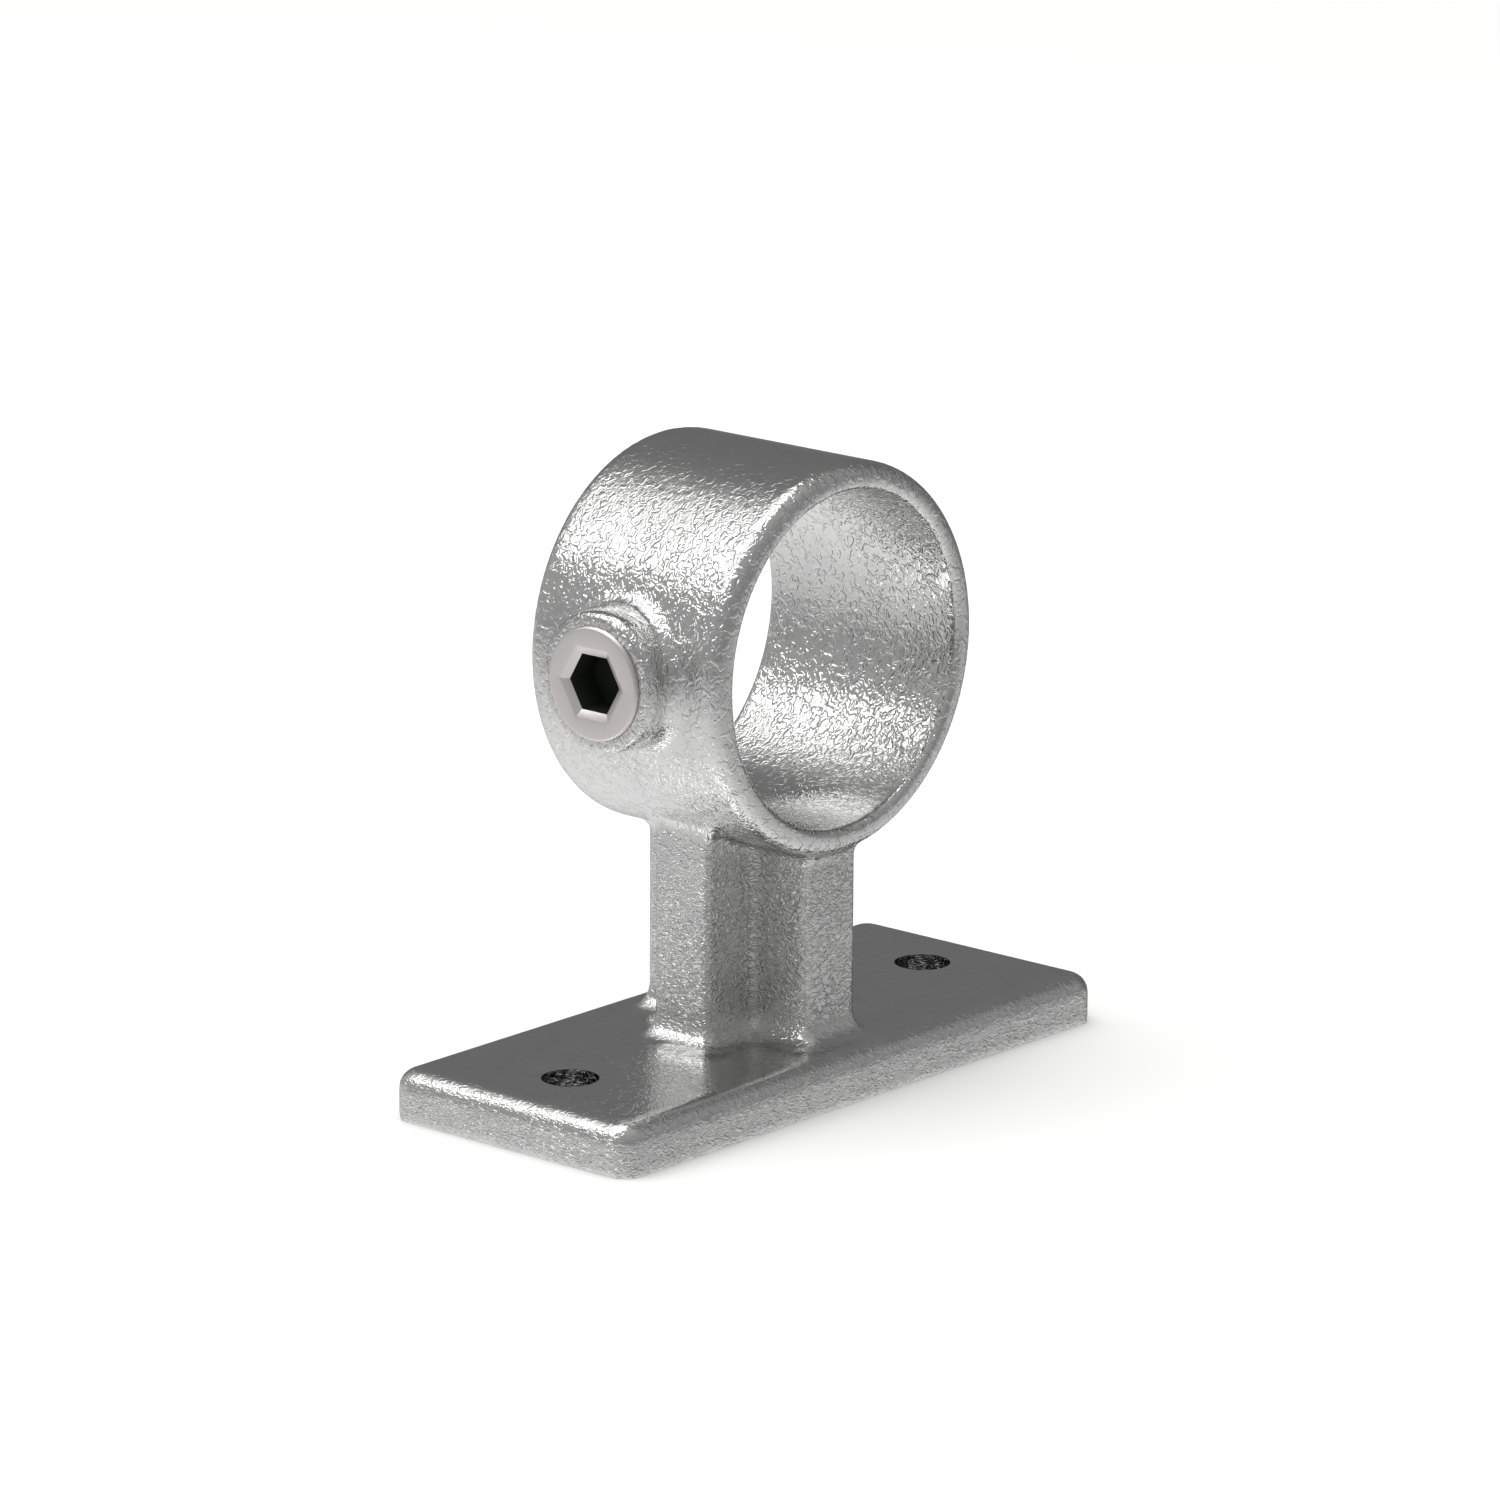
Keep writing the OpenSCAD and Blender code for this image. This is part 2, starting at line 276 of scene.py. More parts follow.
def galvanised_iron(settings):
    """Hot-dip galvanised cast iron: bright grey zinc that set in fine ripples over the cast skin.
    The eye sees a sharp but broken reflection, with duller clouds a few millimetres wide."""
    cloud_width, speck_width, patch_width = 0.009, 0.0012, 0.012
    # The pattern changes from the stem's to the collar's between these heights
    stem_end, collar_start, between = 0.032, 0.040, 0.036
    # A face turned up this far counts as level from the first value on, fully at the second
    level_from, level_full = 0.72, 0.92
    # A face turned up no further than this still counts in part as a wall
    wall_end = 0.3
    # Where the rough rim of the boss's face fades out, away from the screw's axis and along it
    rim_reach, rim_depth, rim_weight = (0.0097, 0.0103), (-0.0325, -0.0315), 2.0
    # How much denser the pattern is in height than across
    collar_stretch, stem_stretch = (1.0, 1.0, 0.75), (1.0, 1.0, 1.8)
    # Place of one inner corner of the stem in plan, and where the painted shade in it fades out
    corner, corner_reach = (0.0052, 0.0055, 0.0), (0.0008, 0.0014)
    # Where the painted shade on a screw hole's wall fades out, past the hole's radius
    hole_edge = (0.00005, 0.00015)
    # Shares of the zinc's brightness; the corner's and the holes' darker shares are painted shade
    dross_collar, dross_wall, corner_painted_shade, hole_painted_shade, hole_grain = 0.95, 0.88, 0.79, 0.16, 0.5
    # Shares of the ripples' height
    calm_share, edge_share, wall_share, level_share = 0.70, 0.5, 1.18, 0.3
    crease_width, crease_depth = 0.1, 0.27
    # Added to the roughness in the duller clouds
    dull_gloss = 0.06

    material, tree = new_material("galvanised_cast_iron")
    place = add_node(tree, "ShaderNodeTexCoord").outputs["Object"]
    clouds = add_node(tree, "ShaderNodeTexNoise", {
        "Vector": place, "Scale": 1 / cloud_width, "Detail": 3.0, "Roughness": 0.6})
    colour = add_node(tree, "ShaderNodeMix", {
        0: clouds.outputs["Fac"], 6: linear(settings.zinc_dull), 7: linear(settings.zinc)},
        data_type="RGBA")
    # Cast walls, the plate's and stem's sides, keep a rough skin; on level faces the zinc ran flat
    axes = add_node(tree, "ShaderNodeSeparateXYZ", {0: place})
    facing = add_node(tree, "ShaderNodeSeparateXYZ", {
        0: add_node(tree, "ShaderNodeNewGeometry").outputs["Normal"]})
    level = add_node(tree, "ShaderNodeMapRange", {
        0: facing.outputs["Z"], "From Min": level_from, "From Max": level_full, "To Min": 0.0,
        "To Max": 1.0})
    low = add_node(tree, "ShaderNodeMapRange", {
        0: axes.outputs["Z"], "From Min": stem_end, "From Max": collar_start, "To Min": 1.0,
        "To Max": 0.0})
    steep = add_node(tree, "ShaderNodeMapRange", {
        0: facing.outputs["Z"], "From Min": 0.0, "From Max": wall_end, "To Min": 1.0,
        "To Max": 0.0})
    sides = add_node(tree, "ShaderNodeMath", {0: low.outputs[0], 1: steep.outputs[0]},
                     operation="MULTIPLY")
    # So does the boss's face round the set screw, which is rougher still
    lift = add_node(tree, "ShaderNodeMath", {0: axes.outputs["Z"], 1: AXIS_HEIGHT},
                    operation="SUBTRACT")
    round_tap = add_node(tree, "ShaderNodeCombineXYZ", {0: axes.outputs["X"], 1: lift.outputs[0]})
    tap_reach = add_node(tree, "ShaderNodeVectorMath", {0: round_tap.outputs[0]},
                         operation="LENGTH")
    near = add_node(tree, "ShaderNodeMapRange", {
        0: tap_reach.outputs["Value"], "From Min": rim_reach[0], "From Max": rim_reach[1],
        "To Min": rim_weight, "To Max": 0.0})
    ahead = add_node(tree, "ShaderNodeMapRange", {
        0: axes.outputs["Y"], "From Min": rim_depth[0], "From Max": rim_depth[1], "To Min": 1.0,
        "To Max": 0.0})
    rim = add_node(tree, "ShaderNodeMath", {0: near.outputs[0], 1: ahead.outputs[0]},
                   operation="MULTIPLY")
    wall = add_node(tree, "ShaderNodeMath", {0: sides.outputs[0], 1: rim.outputs[0]},
                    operation="MAXIMUM")
    # The ripples and the dross lie along the stem's and plate's walls; they hang down the collar
    stretch = add_node(tree, "ShaderNodeMix", {
        0: low.outputs[0], 4: collar_stretch, 5: stem_stretch}, data_type="VECTOR")
    lifted = add_node(tree, "ShaderNodeVectorMath", {0: place, 1: (0.0, 0.0, between)},
                      operation="SUBTRACT")
    lying = add_node(tree, "ShaderNodeVectorMath", {0: lifted.outputs[0], 1: stretch.outputs[1]},
                     operation="MULTIPLY")
    # Dross: grey specks about a millimetre wide
    specks = add_node(tree, "ShaderNodeTexNoise", {
        "Vector": lying.outputs[0], "Scale": 1 / speck_width, "Detail": 3.0, "Roughness": 0.65})
    lowest = add_node(tree, "ShaderNodeMix", {
        0: wall.outputs[0], 2: dross_collar, 3: dross_wall}, clamp_factor=False)
    dross = add_node(tree, "ShaderNodeMapRange", {
        0: specks.outputs["Fac"], "From Min": 0.36, "From Max": 0.56, "To Min": lowest.outputs[0],
        "To Max": 1.0})
    # Painted shade on the walls of the two screw holes: dark, with a few bright grains
    across = add_node(tree, "ShaderNodeMath", {0: axes.outputs["Y"]}, operation="ABSOLUTE")
    along = add_node(tree, "ShaderNodeMath", {0: across.outputs[0], 1: settings.hole_pitch / 2},
                     operation="SUBTRACT")
    flat = add_node(tree, "ShaderNodeCombineXYZ", {0: axes.outputs["X"], 1: along.outputs[0]})
    reach = add_node(tree, "ShaderNodeVectorMath", {0: flat.outputs[0]}, operation="LENGTH")
    hole = add_node(tree, "ShaderNodeMapRange", {
        0: reach.outputs["Value"], "From Min": settings.hole_size / 2 + hole_edge[0],
        "From Max": settings.hole_size / 2 + hole_edge[1], "To Min": 1.0, "To Max": 0.0})
    grains = add_node(tree, "ShaderNodeMapRange", {
        0: specks.outputs["Fac"], "From Min": 0.42, "From Max": 0.62, "To Min": hole_painted_shade,
        "To Max": hole_grain})
    # Painted shade: the stem's inner corners are darkened, standing in for the shade that falls
    # between the ribs
    folded = add_node(tree, "ShaderNodeVectorMath", {0: place}, operation="ABSOLUTE")
    plan = add_node(tree, "ShaderNodeVectorMath", {0: folded.outputs[0], 1: (1.0, 1.0, 0.0)},
                    operation="MULTIPLY")
    fold = add_node(tree, "ShaderNodeVectorMath", {0: plan.outputs[0], 1: corner},
                    operation="DISTANCE")
    corner_shade = add_node(tree, "ShaderNodeMapRange", {
        0: fold.outputs["Value"], "From Min": corner_reach[0], "From Max": corner_reach[1],
        "To Min": corner_painted_shade, "To Max": 1.0}, interpolation_type="SMOOTHSTEP")
    stem_corner_shade = add_node(tree, "ShaderNodeMix", {0: low.outputs[0], 2: 1.0, 3: corner_shade.outputs[0]})
    dross_and_corner_shade = add_node(tree, "ShaderNodeMath", {0: dross.outputs[0], 1: stem_corner_shade.outputs[0]},
                       operation="MULTIPLY")
    share = add_node(tree, "ShaderNodeMix", {
        0: hole.outputs[0], 2: dross_and_corner_shade.outputs[0], 3: grains.outputs[0]})
    zinc = add_node(tree, "ShaderNodeVectorMath", {
        0: colour.outputs[2], "Scale": share.outputs[0]}, operation="SCALE")
    ripples = add_node(tree, "ShaderNodeTexNoise", {
        "Vector": lying.outputs[0], "Scale": 1 / settings.ripple_length, "Detail": 1.0,
        "Roughness": 0.5, "Distortion": 0.6})
    # Narrow creases wind between the ripples
    middle = add_node(tree, "ShaderNodeMath", {0: ripples.outputs["Fac"], 1: 0.5},
                      operation="SUBTRACT")
    apart = add_node(tree, "ShaderNodeMath", {0: middle.outputs[0]}, operation="ABSOLUTE")
    crease = add_node(tree, "ShaderNodeMapRange", {
        0: apart.outputs[0], "From Min": 0.0, "From Max": crease_width, "To Min": 0.0,
        "To Max": crease_depth})
    creased = add_node(tree, "ShaderNodeMath", {0: ripples.outputs["Fac"], 1: crease.outputs[0]},
                       operation="ADD")
    # The ripples are lower in calm patches, on the low rounded edges and on level faces
    calm = add_node(tree, "ShaderNodeTexNoise", {
        "Vector": place, "Scale": 1 / patch_width, "Detail": 1.0})
    calmed = add_node(tree, "ShaderNodeMapRange", {
        0: calm.outputs["Fac"], "From Min": 0.34, "From Max": 0.54, "To Min": calm_share,
        "To Max": 1.0})
    eased = add_node(tree, "ShaderNodeMix", {0: low.outputs[0], 2: 1.0, 3: edge_share})
    walled = add_node(tree, "ShaderNodeMix", {
        0: wall.outputs[0], 2: eased.outputs[0], 3: wall_share}, clamp_factor=False)
    strength = add_node(tree, "ShaderNodeMix", {
        0: level.outputs[0], 2: walled.outputs[0], 3: level_share})
    strong = add_node(tree, "ShaderNodeMath", {0: calmed.outputs[0], 1: strength.outputs[0]},
                      operation="MULTIPLY")
    height = add_node(tree, "ShaderNodeMath", {0: creased.outputs[0], 1: strong.outputs[0]},
                      operation="MULTIPLY")
    bump = add_node(tree, "ShaderNodeBump", {
        "Strength": 1.0, "Distance": settings.ripple_height, "Height": height.outputs[0]})
    rough = add_node(tree, "ShaderNodeMapRange", {
        0: clouds.outputs["Fac"], "From Min": 0.3, "From Max": 0.7,
        "To Min": settings.gloss + dull_gloss, "To Max": settings.gloss})
    skin = add_node(tree, "ShaderNodeBsdfPrincipled", {
        "Base Color": zinc.outputs[0], "Metallic": 1.0, "Roughness": rough.outputs["Result"],
        "Normal": bump.outputs["Normal"]})
    add_node(tree, "ShaderNodeOutputMaterial", {"Surface": skin.outputs[0]})
    return material


def zinc_steel(settings):
    """Turned steel with a satin plating: an even, slightly warm light grey, with turning rings so
    fine that they only widen the highlight across the rings."""
    ring_pitch, ring_height, grain_width = 0.00025, 0.0000025, 0.0006
    material, tree = new_material("satin_plated_steel")
    place = add_node(tree, "ShaderNodeTexCoord").outputs["Object"]
    centred = add_node(tree, "ShaderNodeMapping", {
        "Vector": place, "Location": (0.0, 0.0, -AXIS_HEIGHT)})
    # Rings 0.25 mm apart, because real turning rings are too fine to show; a ring of this node is
    # tau / 20 of a unit wide at scale 1
    rings = add_node(tree, "ShaderNodeTexWave", {
        "Vector": centred.outputs[0], "Scale": math.tau / 20 / ring_pitch, "Distortion": 0.6,
        "Detail": 1.0, "Detail Scale": 0.2}, wave_type="RINGS", rings_direction="Y")
    grain = add_node(tree, "ShaderNodeTexNoise", {
        "Vector": place, "Scale": 1 / grain_width, "Detail": 3.0, "Roughness": 0.6})
    height = add_node(tree, "ShaderNodeMix", {
        "Factor": 0.35, 2: grain.outputs["Fac"], 3: rings.outputs["Fac"]})
    bump = add_node(tree, "ShaderNodeBump", {
        "Strength": 1.0, "Distance": ring_height, "Height": height.outputs[0]})
    skin = add_node(tree, "ShaderNodeBsdfPrincipled", {
        "Base Color": linear(settings.plating), "Metallic": 1.0, "Roughness": 0.42,
        "Normal": bump.outputs["Normal"]})
    add_node(tree, "ShaderNodeOutputMaterial", {"Surface": skin.outputs[0]})
    return material


def socket_shade_material(settings):
    """Painted shade in the socket: a near-black matt material on the socket's walls stands in for
    the shade deep down in the hole, so the eye sees an even black hole."""
    grain_width, grain_height = 0.0005, 0.00002
    material, tree = new_material("socket_painted_shade")
    place = add_node(tree, "ShaderNodeTexCoord").outputs["Object"]
    grain = add_node(tree, "ShaderNodeTexNoise", {
        "Vector": place, "Scale": 1 / grain_width, "Detail": 2.0})
    bump = add_node(tree, "ShaderNodeBump", {
        "Strength": 1.0, "Distance": grain_height, "Height": grain.outputs["Fac"]})
    skin = add_node(tree, "ShaderNodeBsdfPrincipled", {
        "Base Color": linear(settings.socket_shade_colour), "Metallic": 0.0, "Roughness": 0.6,
        "Specular IOR Level": 0.2, "Normal": bump.outputs["Normal"]})
    add_node(tree, "ShaderNodeOutputMaterial", {"Surface": skin.outputs[0]})
    return material


class OBJECT_OT_bracket_casting(bpy.types.Operator):
    """Makes the galvanised casting from the bracket's own shape, with its arrises softened"""

    bl_idname = "object.bracket_casting"
    bl_label = "Galvanised Casting"
    bl_options = {"REGISTER", "UNDO"}

    def execute(self, context):
        settings = context.scene.bracket_casting
        weld = 1e-6
        # How far a plug bites into the wall round it
        tap_bite, hole_bite = 0.0005, 0.0002
        # How far the cuts run past the faces that they open; the tapped hole ends in the bore
        tap_past, hole_past, tap_end, bore_reach = 0.01, 0.005, 0.01, 0.05
        bm = bmesh.new()
        bm.from_mesh(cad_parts["casting"].data)
        bmesh.ops.remove_doubles(bm, verts=bm.verts, dist=weld)
        # The skin closes over plugs in the holes, which are cut after it and so stay crisp
        material = galvanised_iron(settings)
        tap, hole = settings.tap_size / 2, settings.hole_size / 2
        plug, bore, cuts = bmesh.new(), bmesh.new(), bmesh.new()
        add_rod(plug, (0, -settings.boss_face, AXIS_HEIGHT), (0, 0, AXIS_HEIGHT), tap + tap_bite)
        add_rod(bore, (-bore_reach, 0, AXIS_HEIGHT), (bore_reach, 0, AXIS_HEIGHT),
                settings.bore_size / 2)
        tap_plug = new_piece("tap_plug", plug, material)
        combine(tap_plug, new_piece("bore_blank", bore, material), "DIFFERENCE")
        bm.from_mesh(tap_plug.data)
        bpy.data.meshes.remove(tap_plug.data)
        add_rod(cuts, (0, -settings.boss_face - tap_past, AXIS_HEIGHT),
                (0, -tap_end, AXIS_HEIGHT), tap)
        for y in (-settings.hole_pitch / 2, settings.hole_pitch / 2):
            add_rod(bm, (0, y, 0), (0, y, settings.plate_top), hole + hole_bite)
            add_rod(cuts, (0, y, -hole_past), (0, y, settings.plate_top + hole_past), hole)
        casting = new_piece("bracket_casting", bm, material)
        zinc = casting.modifiers.new("zinc", "REMESH")
        zinc.mode = "VOXEL"
        zinc.voxel_size = settings.grain
        zinc.use_smooth_shade = True
        even = casting.modifiers.new("even", "SMOOTH")
        even.factor = 0.5
        even.iterations = settings.soften
        apply_modifiers(casting)
        # The underside stays one flat face
        bm = bmesh.new()
        bm.from_mesh(casting.data)
        for vert in bm.verts:
            if vert.co.z < settings.grain / 4:
                vert.co.z = 0.0
        bm.to_mesh(casting.data)
        bm.free()
        combine(casting, new_piece("hole_cuts", cuts, material), "DIFFERENCE")
        casting.data.materials.clear()
        casting.data.materials.append(material)
        casting.data.set_sharp_from_angle(angle=math.radians(60))
        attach(casting, "bracket")
        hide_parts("casting")
        return {"FINISHED"}


class OBJECT_OT_bracket_set_screw(bpy.types.Operator):
    """Makes the set screw: a threaded and turned body with a hexagon socket"""

    bl_idname = "object.bracket_set_screw"
    bl_label = "Set Screw"
    bl_options = {"REGISTER", "UNDO"}

    def execute(self, context):
        settings = context.scene.bracket_set_screw
        radius = (SCREW_HIGH[0] - SCREW_LOW[0]) / 2
        length = SCREW_HIGH[1] - SCREW_LOW[1]
        material = zinc_steel(settings)
        # Vertices this close are one; blanks bite this far into the thread; the socket's cutter
        # runs this far past the face; the break on the mouth's edges is this wide
        weld, bite, past, fine_break = 1e-6, 0.0002, 0.001, 0.00007
        # Slack for sorting faces and edges by their place, and what counts as an edge to break:
        # its least angle in radians, and its distance from the rim in rim radii
        slack, least_angle, off_rim = 1e-5, 0.35, 1.2

        # The thread: a wavy line, turned once round the axis while it climbs one pitch
        steps, waves = 96, 12
        turns = int(length / settings.pitch) + 3
        middle = radius - settings.thread_depth / 2
        bm = bmesh.new()
        line = []
        for i in range(turns * waves + 1):
            z = (i / waves - 2) * settings.pitch
            out = middle + settings.thread_depth / 2 * math.cos(math.tau * i / waves)
            line.append(bm.verts.new((out, 0.0, z)))
        edges = [bm.edges.new(pair) for pair in zip(line, line[1:])]
        bmesh.ops.spin(bm, geom=line + edges, cent=(0, 0, 0), axis=(0, 0, 1),
                       dvec=(0, 0, settings.pitch / steps), angle=math.tau, steps=steps)
        bmesh.ops.remove_doubles(bm, verts=bm.verts, dist=weld)
        for z, normal in ((0.0, (0, 0, -1)), (length - settings.head_land, (0, 0, 1))):
            cut = bmesh.ops.bisect_plane(
                bm, geom=bm.verts[:] + bm.edges[:] + bm.faces[:], dist=1e-7,
                plane_co=(0, 0, z), plane_no=normal, clear_outer=True)
            rim = [g for g in cut["geom_cut"] if isinstance(g, bmesh.types.BMEdge)]
            bmesh.ops.holes_fill(bm, edges=rim)
        bmesh.ops.recalc_face_normals(bm, faces=bm.faces)
        screw = new_piece("set_screw_turned", bm, material)

        # The turned outline: a cup at the tip, its chamfer, and the land with its rounded rim
        cup = settings.cup_diameter / 2
        land = length - settings.head_land
        arc = [(radius - settings.rim_radius * (1 - math.sin(a)),
                length - settings.rim_radius * (1 - math.cos(a)))
               for a in (math.radians(d) for d in (90, 75, 60, 45, 30, 15, 0))]
        outlines = {
            "INTERSECT": [(0.0, settings.cup_depth), (cup, 0.0),
                          (radius - settings.tip_chamfer, 0.0),
                          (radius + bite, settings.tip_chamfer + bite),
                          (radius + bite, length), (0.0, length)],
            "UNION": [(0.0, land - bite), (radius - settings.thread_depth, land - bite),
                      (radius, land + settings.thread_depth * 0.4)] + arc + [(0.0, length)],
        }
        for operation, outline in outlines.items():
            bm = bmesh.new()
            line = [bm.verts.new((out, 0.0, z)) for out, z in outline]
            edges = [bm.edges.new(pair) for pair in zip(line, line[1:])]
            bmesh.ops.spin(bm, geom=line + edges, cent=(0, 0, 0), axis=(0, 0, 1),
                           angle=math.tau, steps=steps, use_merge=True)
            bmesh.ops.remove_doubles(bm, verts=bm.verts, dist=weld)
            bmesh.ops.recalc_face_normals(bm, faces=bm.faces)
            combine(screw, new_piece("turned_blank", bm, material), operation)

        # The socket, with its chamfered mouth
        bm = bmesh.new()
        made = bmesh.ops.create_circle(bm, cap_ends=True, segments=6,
                                       radius=settings.hex_flats / 2 / math.cos(math.pi / 6))
        bmesh.ops.rotate(bm, verts=bm.verts, cent=(0, 0, 0),
                         matrix=Matrix.Rotation(math.pi / 6, 3, "Z"))
        bmesh.ops.translate(bm, verts=made["verts"], vec=(0, 0, length - settings.hex_depth))
        top = bm.faces[:]
        slope = (settings.mouth_flats / settings.hex_flats - 1) / settings.mouth_depth
        for rise, grow in ((settings.hex_depth - settings.mouth_depth, 1.0),
                           (settings.mouth_depth, 1 + slope * settings.mouth_depth),
                           (past, 1 + slope * past / (1 + slope * settings.mouth_depth))):
            made = bmesh.ops.extrude_face_region(bm, geom=top)
            if grow != 1.0:
                bmesh.ops.delete(bm, geom=top, context="FACES_ONLY")
            top = [g for g in made["geom"] if isinstance(g, bmesh.types.BMFace)]
            verts = [g for g in made["geom"] if isinstance(g, bmesh.types.BMVert)]
            bmesh.ops.translate(bm, verts=verts, vec=(0, 0, rise))
            bmesh.ops.scale(bm, verts=verts, vec=(grow, grow, 1))
        bmesh.ops.recalc_face_normals(bm, faces=bm.faces)
        combine(screw, new_piece("socket_cutter", bm, material), "DIFFERENCE")

        screw.data.materials.clear()
        screw.data.materials.append(material)
        screw.data.materials.append(socket_shade_material(settings))
        bm = bmesh.new()
        bm.from_mesh(screw.data)
        # Painted shade: the socket's walls below its mouth get the near-black material
        for face in bm.faces:
            depth = length - face.calc_center_median().z
            reach = max(vert.co.xy.length for vert in face.verts)
            face.material_index = int(
                settings.mouth_depth + slack < depth < settings.hex_depth + slack
                and reach < settings.mouth_flats / 2)
        # A fine break on the edges of the face and the socket's mouth
        sharp = [e for e in bm.edges
                 if len(e.link_faces) == 2 and e.calc_face_angle() > least_angle
                 and min(v.co.z for v in e.verts) > length - settings.mouth_depth - slack
                 and max(v.co.xy.length for v in e.verts)
                 < radius - settings.rim_radius * off_rim]
        bmesh.ops.bevel(bm, geom=sharp, offset=fine_break, offset_type="OFFSET", affect="EDGES",
                        segments=2, profile=0.5, material=-1, clamp_overlap=True)
        # The screw lies along -Y, its tip towards the rail
        seat = Matrix.Translation((0.0, SCREW_HIGH[1], AXIS_HEIGHT))
        bmesh.ops.transform(bm, matrix=seat @ Matrix.Rotation(math.pi / 2, 4, "X"), verts=bm.verts)
        bm.to_mesh(screw.data)
        bm.free()
        screw.data.set_sharp_from_angle(angle=math.radians(35))
        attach(screw, "screw")
        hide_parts("set_screw")
        return {"FINISHED"}


class OBJECT_OT_bracket_studio(bpy.types.Operator):
    """Sets the floor, the softboxes, the room and the camera"""

    bl_idname = "object.bracket_studio"
    bl_label = "Studio"
    bl_options = {"REGISTER", "UNDO"}

    def execute(self, context):
        settings = context.scene.bracket_studio
        scene = context.scene

        # Matt pale paper; the metal mirrors the room's own lower half instead
        paper, tree = new_material("matt_pale_paper")
        skin = add_node(tree, "ShaderNodeBsdfDiffuse", {"Color": linear(settings.floor_colour)})
        add_node(tree, "ShaderNodeOutputMaterial", {"Surface": skin.outputs[0]})
        bm = bmesh.new()
        bmesh.ops.create_circle(bm, cap_ends=True, segments=96, radius=settings.floor_radius)
        floor = new_piece("floor", bm, paper)
        floor.visible_glossy = False

        # A softbox that the metal mirrors, with its dimmer edge, and a fill that the metal doesn't
        # mirror: direction from the collar, direction of the long side, distance, long and short
        # side, power
        lights = {
            "softbox": ((-0.301, -0.298, 0.926), (0.55, 0.80, 0.23), 1.2, 1.55, 0.81,
                        settings.softbox_power),
            "softbox_edge": ((-0.618, -0.050, 0.822), (0.55, 0.80, 0.23), 1.2, 1.55, 0.17,
                             settings.softbox_power * 0.07),
            "overhead_fill": ((0.0, 0.0, 1.0), (1.0, 0.0, 0.0), 2.0, 3.0, 3.0,
                              settings.fill_power),
        }
        aim = Vector((0.0, 0.0, 0.06))
        for name, (way, along, distance, long_side, short_side, power) in lights.items():
            light = bpy.data.lights.new(name, "AREA")
            light.shape = "RECTANGLE"
            light.size = long_side
            light.size_y = short_side
            light.energy = power
            lamp = bpy.data.objects.new(name, light)
            back = Vector(way).normalized()
            across = back.cross(Vector(along)).normalized()
            pose = Matrix((across.cross(back), across, back)).transposed().to_4x4()
            pose.translation = aim + back * distance
            lamp.matrix_world = pose
            lamp.visible_glossy = name != "overhead_fill"
            lamp.visible_camera = False
            scene.collection.objects.link(lamp)

        # The room that the metal mirrors: brighter below and to the left, dark behind
        world = bpy.data.worlds.new("grey_room")
        world.use_nodes = True
        tree = world.node_tree
        tree.nodes.clear()
        rays = add_node(tree, "ShaderNodeLightPath")
        way = add_node(tree, "ShaderNodeTexCoord").outputs["Generated"]
        axes = add_node(tree, "ShaderNodeSeparateXYZ", {0: way})
        rise = add_node(tree, "ShaderNodeMapRange", {
            0: axes.outputs["Z"], "From Min": -1.0, "From Max": 1.0})
        height = add_node(tree, "ShaderNodeValToRGB", {0: rise.outputs[0]})
        # Heights, from straight down to straight up, and the room's grey there
        stops = ((0.0, 1.0), (0.115, 0.79), (0.25, 0.66), (0.37, 0.54), (0.5, 0.30), (0.75, 0.37),
                 (1.0, 0.48))
        while len(height.color_ramp.elements) < len(stops):
            height.color_ramp.elements.new(0.5)
        for stop, (place, grey) in zip(height.color_ramp.elements, stops):
            stop.position = place
            stop.color = (grey, grey, grey, 1.0)
        left = add_node(tree, "ShaderNodeMapRange", {
            0: axes.outputs["X"], "From Min": -1.0, "From Max": 1.0, "To Min": 1.30,
            "To Max": 0.87})
        behind = add_node(tree, "ShaderNodeVectorMath", {0: way, 1: (-0.40, 0.85, 0.35)},
                          operation="DOT_PRODUCT")
        dark = add_node(tree, "ShaderNodeMapRange", {
            0: behind.outputs["Value"], "From Min": 0.5, "From Max": 0.85, "To Min": 1.0,
            "To Max": 0.42}, interpolation_type="SMOOTHSTEP")
        sides = add_node(tree, "ShaderNodeMath", {0: left.outputs[0], 1: dark.outputs[0]},
                         operation="MULTIPLY")
        room = add_node(tree, "ShaderNodeMath", {0: height.outputs[0], 1: sides.outputs[0]},
                        operation="MULTIPLY")
        shade = add_node(tree, "ShaderNodeMix", {
            0: rays.outputs["Is Glossy Ray"], 2: settings.room_light, 3: room.outputs[0]})
        back = add_node(tree, "ShaderNodeBackground", {
            "Color": (1.0, 1.0, 1.0, 1.0), "Strength": shade.outputs[0]})
        add_node(tree, "ShaderNodeOutputWorld", {"Surface": back.outputs[0]})
        scene.world = world
        scene.view_settings.view_transform = "Standard"

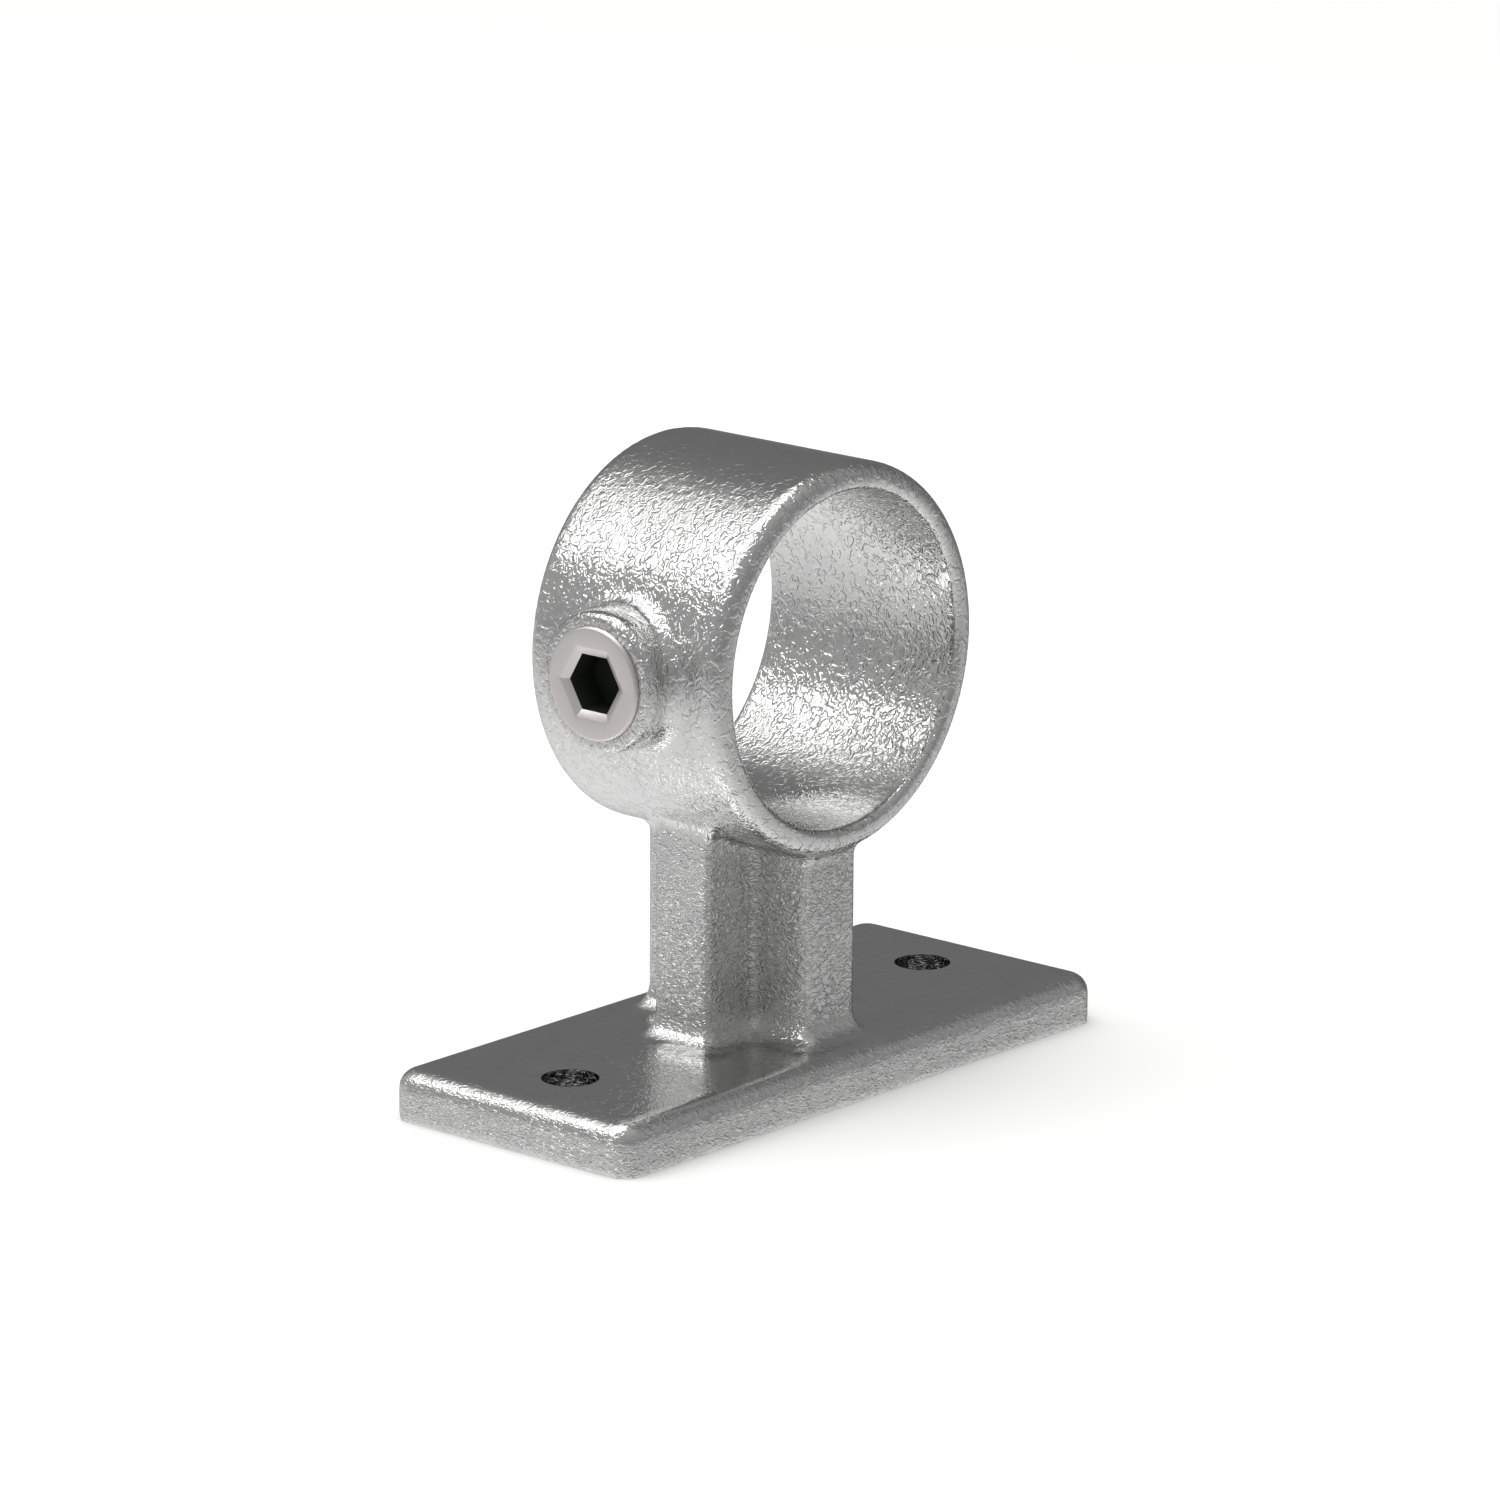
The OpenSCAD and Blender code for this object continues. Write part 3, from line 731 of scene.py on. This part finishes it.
        # The photograph's camera, level with the pixels of a 1500 x 1500 picture
        turn, pitch, roll = 0.7100737, 0.2592104, 0.0051957
        ahead = Vector((-math.sin(turn) * math.cos(pitch), math.cos(turn) * math.cos(pitch),
                        -math.sin(pitch)))
        side = Vector((math.cos(turn), math.sin(turn), 0.0))
        up = side.cross(ahead)
        right = side * math.cos(roll) + up * math.sin(roll)
        top = up * math.cos(roll) - side * math.sin(roll)
        lens = bpy.data.cameras.new("photograph")
        lens.sensor_fit = "HORIZONTAL"
        lens.sensor_width = 36.0
        lens.lens = 198.72
        lens.clip_start = 0.05
        lens.clip_end = 50.0
        camera = bpy.data.objects.new("photograph", lens)
        pose = Matrix((right, top, -ahead)).transposed().to_4x4()
        pose.translation = (0.748691, -0.871335, 0.352358)
        camera.matrix_world = pose
        scene.collection.objects.link(camera)
        scene.camera = camera
        return {"FINISHED"}


class VIEW3D_PT_bracket(bpy.types.Panel):
    """Lists the bracket's pieces and their settings"""

    bl_label = "Handrail Bracket"
    bl_idname = "VIEW3D_PT_bracket"
    bl_space_type = "VIEW_3D"
    bl_region_type = "UI"
    bl_category = "Bracket"

    def draw(self, context):
        for operator, group in ((OBJECT_OT_bracket_casting, "bracket_casting"),
                                (OBJECT_OT_bracket_set_screw, "bracket_set_screw"),
                                (OBJECT_OT_bracket_studio, "bracket_studio")):
            box = self.layout.box()
            settings = getattr(context.scene, group)
            for name in settings.__annotations__:
                box.prop(settings, name)
            box.operator(operator.bl_idname)


CLASSES = (CastingSettings, SetScrewSettings, StudioSettings, OBJECT_OT_bracket_casting,
           OBJECT_OT_bracket_set_screw, OBJECT_OT_bracket_studio, VIEW3D_PT_bracket)


def register():
    for cls in CLASSES:
        bpy.utils.register_class(cls)
    bpy.types.Scene.bracket_casting = bpy.props.PointerProperty(type=CastingSettings)
    bpy.types.Scene.bracket_set_screw = bpy.props.PointerProperty(type=SetScrewSettings)
    bpy.types.Scene.bracket_studio = bpy.props.PointerProperty(type=StudioSettings)


def unregister():
    del bpy.types.Scene.bracket_studio
    del bpy.types.Scene.bracket_set_screw
    del bpy.types.Scene.bracket_casting
    for cls in reversed(CLASSES):
        bpy.utils.unregister_class(cls)


def main():
    register()
    bpy.ops.object.bracket_studio()
    bpy.ops.object.bracket_casting()
    bpy.ops.object.bracket_set_screw()


if __name__ == "__main__":
    main()
